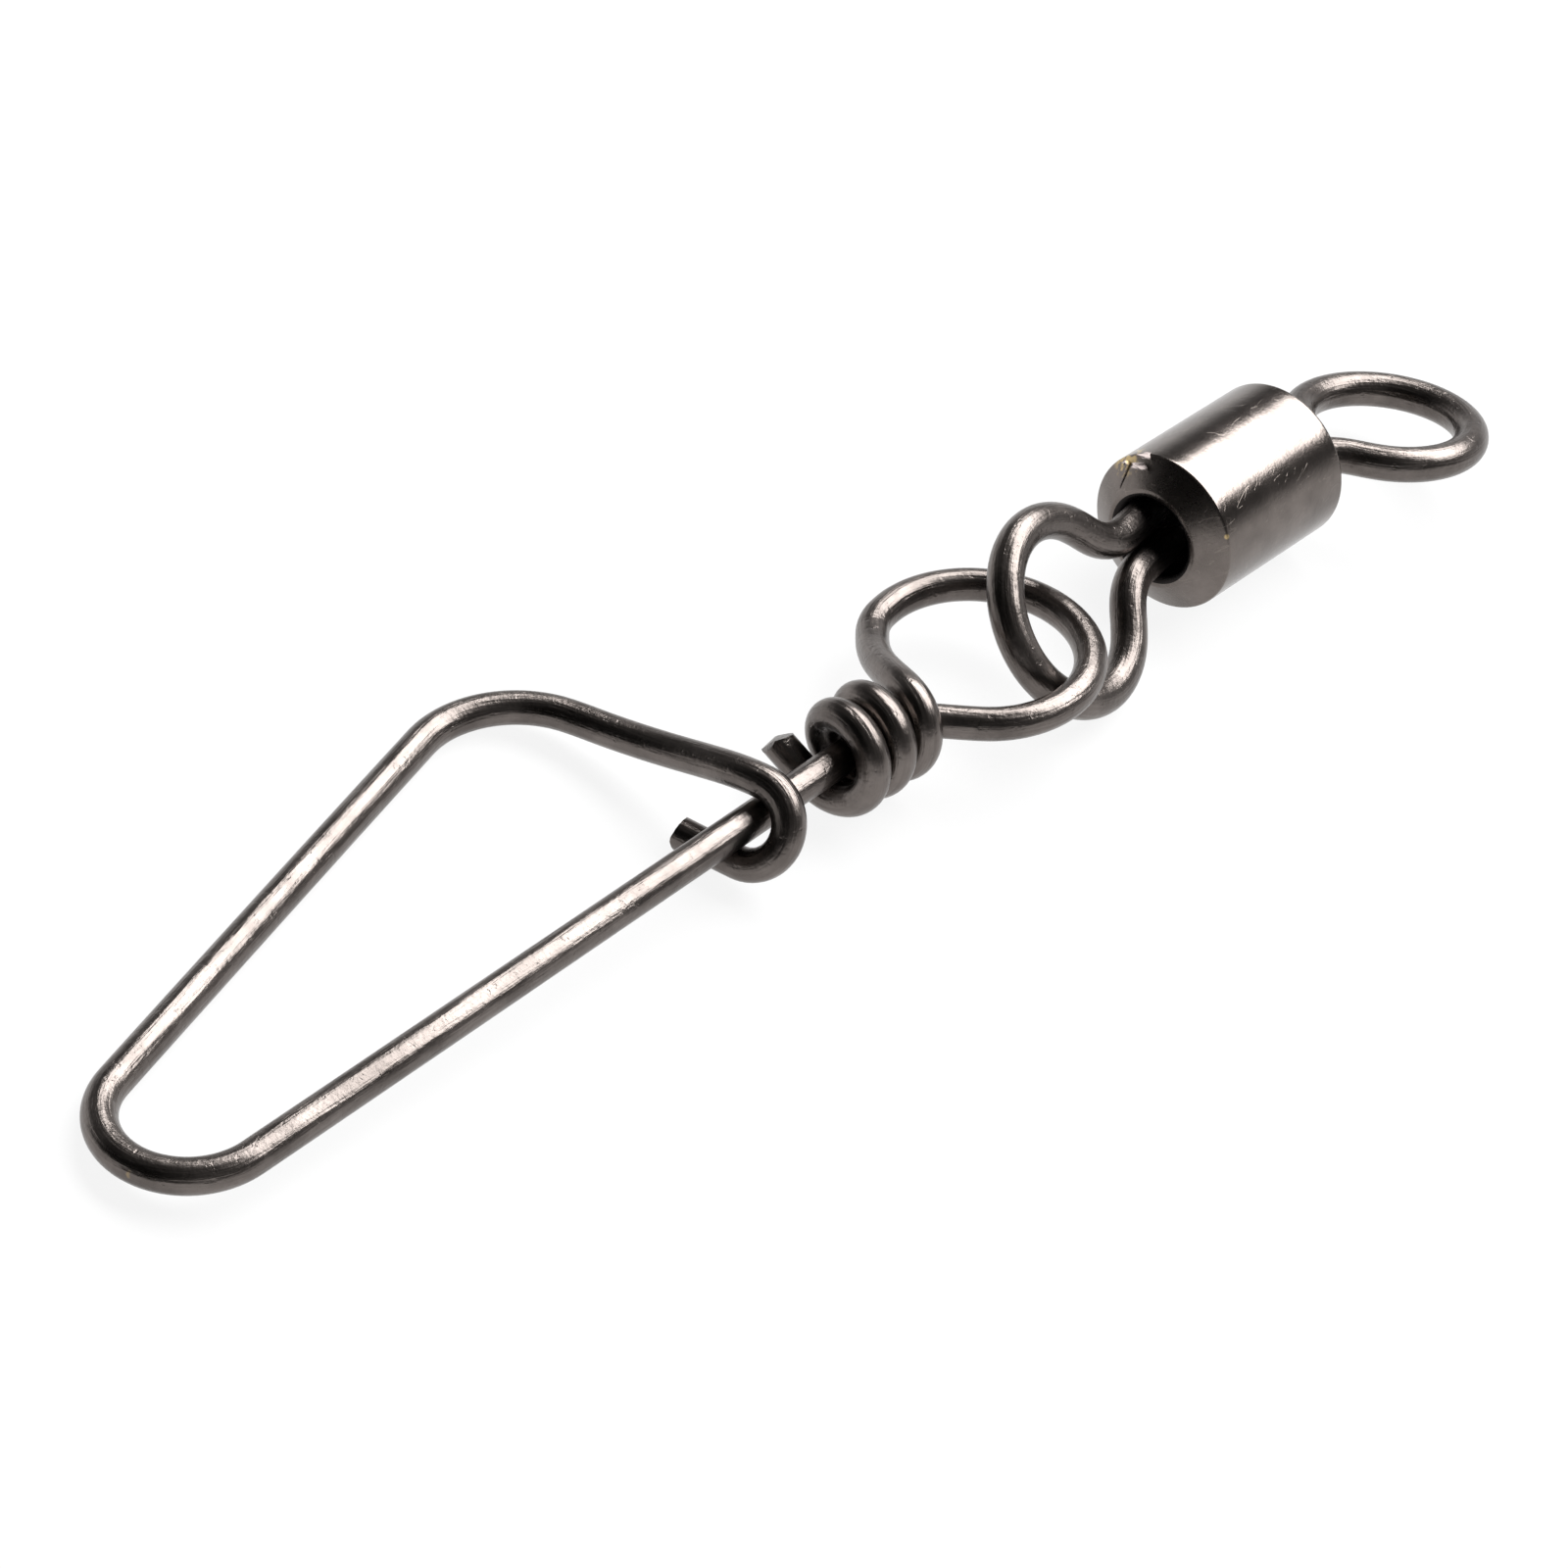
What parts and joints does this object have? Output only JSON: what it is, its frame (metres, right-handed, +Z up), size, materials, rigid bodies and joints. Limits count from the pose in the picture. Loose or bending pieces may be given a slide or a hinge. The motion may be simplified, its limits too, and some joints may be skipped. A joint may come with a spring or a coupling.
{
  "type": "rolling fishing swivel with a hooked snap",
  "caption": "Rolling fishing swivel: a small barrel with a bent wire eye at each end, linked to a long hooked snap bent from one wire.",
  "frame": {"origin": "on the surface the swivel lies on, under the middle of its bounding box", "axes": "+X along the chain from the snap's closed tip to the line eye, +Z up from the surface, +Y towards the snap's outer arm"},
  "size_m": [0.0651, 0.016, 0.0062],
  "materials": {
    "blackened_wire": "dark warm grey plated steel wire, semi gloss, with fine lengthwise drawing lines",
    "blackened_barrel": "dark warm grey plated shell, gloss, lightly scratched, with chips at the rolled rim"
  },
  "bodies": {
    "snap": {"snap": "blackened_wire"},
    "front_eye": {"front_eye": "blackened_wire"},
    "barrel": {"barrel": "blackened_barrel"},
    "rear_eye": {"rear_eye": "blackened_wire"}
  },
  "joints": [
    {"name": "link_swing", "type": "hinge", "parent": "snap", "child": "front_eye", "pos_m": [0.01046, -0.0028, 0.00322], "axis": [0.2241, 0.8365, -0.5], "range_deg": [-120, 120]},
    {"name": "front_spin", "type": "hinge", "parent": "front_eye", "child": "barrel", "pos_m": [0.0155, -0.00295, 0.00305], "axis": [1, 0, 0], "continuous": true},
    {"name": "rear_spin", "type": "hinge", "parent": "barrel", "child": "rear_eye", "pos_m": [0.0238, -0.00295, 0.00305], "axis": [1, 0, 0], "continuous": true}
  ]
}
